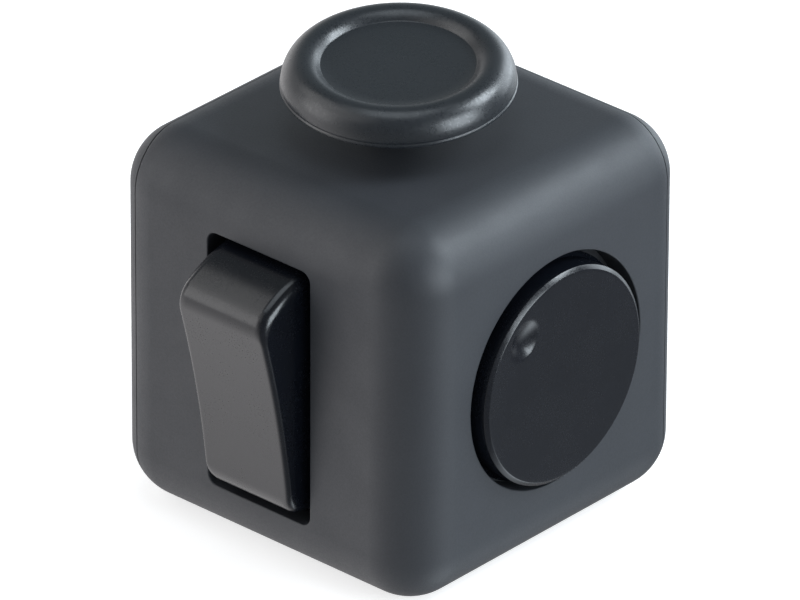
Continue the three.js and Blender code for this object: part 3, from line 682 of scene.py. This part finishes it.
def rocker_paddle():
    edge, corner, half_width = ROCKER["edge"], ROCKER["corner"], ROCKER["half_width"]
    steps = 12
    gaps = [corner * (1 - math.cos(math.pi / 2 * k / steps)) for k in range(steps + 1)]
    stations = [(gap - half_width, gap) for gap in gaps] + [(half_width - gap, gap) for gap in gaps[::-1]]
    loops = []
    for u, gap in stations:
        outline = rocker_outline(rounding(edge, gap), rounding(corner, gap))
        loops.append([(u, along, height) for height, along in outline])
    place = FRONT @ Matrix.Translation((0, 0, ROCKER["pivot"])) @ Matrix.Rotation(ROCKER["tilt"], 4, "X")
    paddle = mesh_object("paddle", *stitch(loops, around=False), place)
    boolean(paddle, slab(-1.7, 1.7, -1.7, 1.7, -4.4, ROCKER["back"] + 0.2, place), "UNION")
    spans = ((-8.6, -2.6), (2.6, 8.6))
    pockets = [slab(-3.3, 3.3, low, high, ROCKER["back"] - 1, 3, place) for low, high in spans]
    boolean(paddle, join(pockets))
    boolean(paddle, drum(ROCKER["plunger_bore"], -5.4, -1.25, place, sides=32))
    across = place @ Matrix.Rotation(math.pi / 2, 4, "Y")
    boolean(paddle, drum(ROCKER["pin_bore"], -half_width - 1, half_width + 1, across, sides=32))
    return finish_piece(paddle, "rocker_paddle", SATIN, "rocker", "control_plastic", "rocker_switch")


rocker_paddle()

# ------------------------------------------------------------------ dial

DIAL = {
    "side": 9.56,
    "rim": 9.2,  # the exposed wall, drawn narrower than the CAD's, which is at the side radius
    "face": 8.86,
    "proud": 0.98,
    "under": -2.0,
    "shaft": 2.0,
    "shaft_end": -5.6,
    "screw_bore": 0.7,
    "groove": (3.6, 8.2, -0.4),  # from this radius to this, and up to this height
}
# The knob is drawn this far off its joint's axis, along the face and up it, from the photograph.
DIAL_OFFSET = (-0.1, -0.12)
HOLLOW = {
    "reach": 6.98,
    "bearing": math.radians(133.7),
    "long": 1.8,
    "short": 1.5,
    "depth": 0.4,
    "deepest": 0.15,
}


def dial_knob():
    face, proud, under = DIAL["face"], DIAL["proud"], DIAL["under"]
    groove_in, groove_out, groove_top = DIAL["groove"]
    profile = rounded(
        [
            (DIAL["screw_bore"], under, 0),
            (DIAL["screw_bore"], DIAL["shaft_end"], 0),
            (DIAL["shaft"], DIAL["shaft_end"], 0.3),
            (DIAL["shaft"], under, 0),
            (groove_in, under, 0.1),
            (groove_in, groove_top, 0.2),
            (groove_out, groove_top, 0.2),
            (groove_out, under, 0.1),
            (DIAL["side"], under, 0.15),
            (DIAL["side"], -1.5, 0.1),
            (DIAL["rim"], -1.2, 0.1),
            (DIAL["rim"], 0.72, 0.08),
            (face, proud, 0.14),
            (face - 0.3, proud, 0),
        ]
    )
    rings = 96
    profile += [((face - 0.3) * (1 - k / rings), proud) for k in range(1, rings + 1)]
    profile = [(0, under)] + profile
    seat = RIGHT @ Matrix.Translation((DIAL_OFFSET[0], DIAL_CENTRE + DIAL_OFFSET[1], 0))
    knob = lathe(profile, 288, seat)
    # The finger hollow is pressed into the face. One end drops sharply, and the other runs out smoothly.
    outward = Vector((math.cos(HOLLOW["bearing"]), math.sin(HOLLOW["bearing"])))
    round_way = Vector((-outward.y, outward.x))
    deepest = HOLLOW["deepest"]
    into_local = seat.inverted()
    for vertex in knob.data.vertices:
        local = into_local @ vertex.co
        if local.z < proud - 0.001:
            continue
        offset = Vector(local.xy) - outward * HOLLOW["reach"]
        across = offset.dot(outward) / HOLLOW["short"]
        along = offset.dot(round_way) / HOLLOW["long"]
        room = 1 - across**2
        if room <= 0 or abs(along) >= room**0.5:
            continue
        along /= room**0.5
        end = 1 if along > deepest else -1
        fall = math.cos((along - deepest) / (end - deepest) * math.pi / 2)
        vertex.co.x -= HOLLOW["depth"] * room * (fall**2 if end > 0 else fall)
    return finish_piece(knob, "dial_knob", SATIN, "dial", "control_plastic", "dial_disc")


dial_knob()

# ------------------------------------------------------------------ joystick

CAP = {
    "rim": 9.34,
    "underside": 3.75,
    "lip": 4.0,
    "crest_ring": 7.45,
    "crest": 6.3,
    "dish": 6.14,
    "floor": 5.64,
    "hub": 3.5,
    "socket": 2.35,
    "socket_end": 4.6,
}
PIVOT_DEPTH = 7
LEAN_RIGHT, LEAN_FORWARD = math.radians(2.7), math.radians(4.3)
PIVOT = (
    TOP
    @ Matrix.Translation((0, 0, -PIVOT_DEPTH))
    @ Matrix.Rotation(LEAN_RIGHT, 4, "Y")
    @ Matrix.Rotation(LEAN_FORWARD, 4, "X")
)


def joystick_cap():
    rim, underside, lip, ring, crest, dish, floor, hub, socket, socket_end = CAP.values()
    profile = [(0, socket_end), (socket, socket_end), (socket, underside), (hub, underside), (hub, 4.4)]
    under_web = [(hub, 4.4, 0), (5.8, 4.4, 0.4), (7.2, 5.3, 0.5), (8.1, 4.9, 0.3), (8.5, underside, 0)]
    profile += rounded(under_web)[1:]
    edge = [(8.5, underside, 0), (rim, underside, 0.08), (rim, lip - 0.05, 0.07), (rim - 0.08, lip + 0.06, 0)]
    profile += rounded(edge, 5)[1:]
    for k in range(1, 33):
        angle = k / 32 * math.pi / 2
        profile.append((ring + (rim - 0.05 - ring) * math.cos(angle), lip + (crest - lip) * math.sin(angle)))
    for k in range(1, 17):
        inward = k / 16
        profile.append((ring + (dish - ring) * inward, crest + (floor - crest) * inward**2.2))
    step = 0.01  # a hair's step marks the dish's edge
    profile += [(dish - 0.03, floor - step), (5.2, floor - step), (0, floor - step)]
    cap = lathe(profile, 224, PIVOT @ Matrix.Translation((0, 0, PIVOT_DEPTH)))
    return finish_piece(cap, "joystick_thumb_cap", SPARKED, "joystick", "control_plastic", "joystick_cap")


def joystick_stem():
    ball, dome, inside, stem, top, post, foot = 2.6, 6.2, 5.2, 2.2, 11.3, 1.5, 1.0

    def angle_at(radius, reach):
        return math.degrees(math.acos(reach / radius))

    skirt = 33
    profile = [(0, -math.sqrt(ball**2 - foot**2))]
    profile += arc(0, 0, ball, -angle_at(ball, foot), angle_at(ball, post), 20)
    profile += arc(0, 0, inside, angle_at(inside, post), skirt, 14)
    profile += arc(0, 0, dome, skirt, angle_at(dome, stem), 14)
    profile += rounded([(stem, 6, 0), (stem, top, 0.3), (0, top, 0)])
    made = lathe(profile, 96, PIVOT)
    across = PIVOT @ Matrix.Rotation(math.pi / 2, 4, "Y")
    boolean(made, drum(0.6, -4.3, 4.3, across, sides=32), "UNION")
    return finish_piece(made, "joystick_dome_stem", SATIN, "joystick", "control_plastic", "joystick_stem")


joystick_cap()
joystick_stem()

# ------------------------------------------------------------------ buttons


BUTTON = {"stem": 1.3, "end": -4.3, "flange": 3.0, "flange_low": -3.1, "flange_high": -2.3, "cap": 2.35}
BUTTON_PROUD = 1.3


def push_button(name, i, j):
    stem, end, flange, flange_low, flange_high, cap = BUTTON.values()
    profile = rounded(
        [
            (0, end, 0),
            (stem, end, 0.2),
            (stem, flange_low, 0),
            (flange, flange_low, 0.1),
            (flange, flange_high, 0.1),
            (cap, flange_high, 0),
            (cap, BUTTON_PROUD - 0.25, 0.55),
            (1.2, BUTTON_PROUD - 0.03, 0.5),
            (0, BUTTON_PROUD, 0),
        ]
    )
    made = lathe(profile, 96, LEFT @ Matrix.Translation((i * PITCH, j * PITCH, 0)))
    return finish_piece(
        made, f"button_{name}_cap", SATIN, f"push_button_{name}", "control_plastic", f"button_{name}"
    )


for button_name, (column, row) in QUINCUNX.items():
    push_button(button_name, column, row)

# ------------------------------------------------------------------ wheels and ball


def wheel_outline(radius_out, points_per_tooth=12):
    """A toothed outline with round-shouldered teeth, reaching radius_out."""
    teeth, depth = WHEEL["teeth"], WHEEL["depth"]
    total = teeth * points_per_tooth
    path = []
    for k in range(total):
        share = (k / points_per_tooth) % 1.0
        rise = min(1.0, max(0.0, min(share / 0.2, (0.8 - share) / 0.2)))
        smooth = rise * rise * (3 - 2 * rise)
        angle = 2 * math.pi * k / total
        radius = radius_out - depth * (1 - smooth)
        path.append((radius * math.cos(angle), radius * math.sin(angle)))
    return path


def toothed_wheel(name, i):
    edge, half = 0.18, WHEEL["width"] / 2
    bore, hub, web = WHEEL["bore"], WHEEL["hub"], WHEEL["web"]
    inner = half - WHEEL["web_depth"]
    stations = []
    for k in range(5):
        t = math.pi / 2 * k / 4
        stations.append((half - edge + edge * math.cos(t), WHEEL["radius"] - edge * (1 - math.sin(t))))
    stations = [(-w, r) for w, r in stations] + stations[::-1]
    loops = [[(x, y, w) for x, y in wheel_outline(r)] for w, r in stations]
    count = len(loops[0])
    rings = [(web, half), (web, inner), (hub, inner), (hub, half), (bore, half)]
    rings += [(radius, -w) for radius, w in rings[::-1]]
    for radius, w in rings:
        loops.append([(x, y, w) for x, y in arc(0, 0, radius, 0, 360 - 360 / count, count - 1)])
    place = BACK @ Matrix.Translation((i * WHEEL["pitch"], WHEEL["v"], WHEEL["w"]))
    made = mesh_object("wheel", *stitch(loops, around=True), place @ Matrix.Rotation(math.pi / 2, 4, "Y"))
    return finish_piece(
        made, f"thumb_wheel_{name}", SATIN, f"wheel_{name}", "control_plastic", f"roller_wheel_{name}"
    )


for wheel_name, column in (("left", -1), ("middle", 0), ("right", 1)):
    toothed_wheel(wheel_name, column)

steel_ball = egg(*(BALL["radius"],) * 3, BACK @ Matrix.Translation((0, BALL["v"], BALL["w"])), 128)
finish_piece(steel_ball, "steel_ball", POLISHED, "ball", "polished_steel", "rolling_ball")

# ------------------------------------------------------------------ mechanisms inside

FINISHES = {"frame_plastic": FRAME, "steel": STEEL, "silicone": SILICONE}
for entry in frame["record"]["subparts"]:
    finish = FINISHES.get(entry["material_slot"])
    if finish is None:
        continue
    mesh = nodes[entry["node"]].data
    mesh.materials.clear()
    mesh.materials.append(finish)

# ------------------------------------------------------------------ floor, lights and surroundings


def make_floor():
    size, low = 3.0, -0.00003  # metres: a hair under the cube, so the two surfaces don't coincide
    mesh = bpy.data.meshes.new("floor")
    corners = [(-size, -size, low), (size, -size, low), (size, size, low), (-size, size, low)]
    mesh.from_pydata(corners, [], [(0, 1, 2, 3)])
    floor = new_object("floor", mesh)
    mesh.materials.append(white_floor())
    floor.visible_glossy = False


WHITE, WARM, COOL, BLUE = (1, 1, 1), (1.0, 0.975, 0.985), (0.84, 0.93, 1.0), (0.6, 0.9, 1.0)
LIGHT_DISTANCE = 0.6  # metres


def area_light(name, azimuth, elevation, size, power, colour):
    """A soft square light that faces the cube. Azimuth 0 is on the -Y side, and 90 on the +X side."""
    a, e = math.radians(azimuth), math.radians(elevation)
    way = Vector((math.sin(a) * math.cos(e), -math.cos(a) * math.cos(e), math.sin(e)))
    data = bpy.data.lights.new(name, "AREA")
    data.shape = "SQUARE"
    data.size = size
    data.energy = power
    data.color = colour
    light = bpy.data.objects.new(name, data)
    bpy.context.scene.collection.objects.link(light)
    light.location = CUBE_FOOT + MIDDLE * MM + way * LIGHT_DISTANCE
    light.rotation_mode = "QUATERNION"
    light.rotation_quaternion = way.to_track_quat("Z", "Y")


# The studio round the cube: soft glows, each a direction, a brightness, a colour and how narrow it is.
GLOWS = (
    ((-1, -1, -1), 1.0, WARM, 5),
    ((-1, -1, 0), 0.5, WARM, 4),
    ((-1, 0, -1), 0.6, WARM, 4),
    ((1, -1, -1), 0.12, COOL, 4),
    ((0.48, 0.33, -0.81), 4.5, COOL, 30),
    ((-0.2, 1, 0), 2.4, COOL, 16),
    ((-1, 0.35, 0), 1.1, WARM, 14),
    ((-0.6, -0.74, 0.3), 1.0, WARM, 14),
    ((-0.65, 0.6, -0.48), 0.4, WARM, 10),
    ((-0.6, 0.65, 0.5), 0.12, BLUE, 4),
    ((1, 0.3, 0.2), 0.9, COOL, 12),
)
AMBIENT = 0.155


def surroundings():
    world = bpy.data.worlds.new("studio")
    bpy.context.scene.world = world
    world.use_nodes = True
    tree = world.node_tree
    place = tree.nodes.new("ShaderNodeTexCoord").outputs["Generated"]
    total = None
    for way, strength, colour, narrowness in GLOWS:
        facing = tree.nodes.new("ShaderNodeVectorMath")
        facing.operation = "DOT_PRODUCT"
        facing.inputs[1].default_value = Vector(way).normalized()
        tree.links.new(place, facing.inputs[0])
        ahead = tree.nodes.new("ShaderNodeMath")
        ahead.operation = "MAXIMUM"
        ahead.inputs[1].default_value = 0
        tree.links.new(facing.outputs["Value"], ahead.inputs[0])
        spread = tree.nodes.new("ShaderNodeMath")
        spread.operation = "POWER"
        spread.inputs[1].default_value = narrowness
        tree.links.new(ahead.outputs[0], spread.inputs[0])
        tint = tree.nodes.new("ShaderNodeVectorMath")
        tint.operation = "SCALE"
        tint.inputs[0].default_value = [strength * channel for channel in colour]
        tree.links.new(spread.outputs[0], tint.inputs["Scale"])
        gather = tree.nodes.new("ShaderNodeVectorMath")
        gather.operation = "ADD"
        gather.inputs[1].default_value = (AMBIENT, AMBIENT, AMBIENT)
        tree.links.new(tint.outputs[0], gather.inputs[0])
        if total is not None:
            tree.links.new(total, gather.inputs[1])
        total = gather.outputs[0]
    tree.links.new(total, tree.nodes["Background"].inputs["Color"])


make_floor()
surroundings()
bpy.context.scene.view_settings.view_transform = "Standard"
SOFT = 0.35
LIGHTS = {
    "key_right": (141, 38, 0.26, 2.8, COOL),
    "right_low": (100, 12, SOFT, 3.0, COOL),
    "back_low": (172, 14, SOFT, 1.2, COOL),
    "fill_left": (-15, 45, SOFT, 0.25, WHITE),
    "left_low": (-40, 15, SOFT, 0.5, WHITE),
    "left_side": (-60, 45, SOFT, 0.5, WHITE),
    "top_soft": (20, 85, SOFT, 0.75, COOL),
}
for light_name, settings in LIGHTS.items():
    area_light(light_name, *settings)
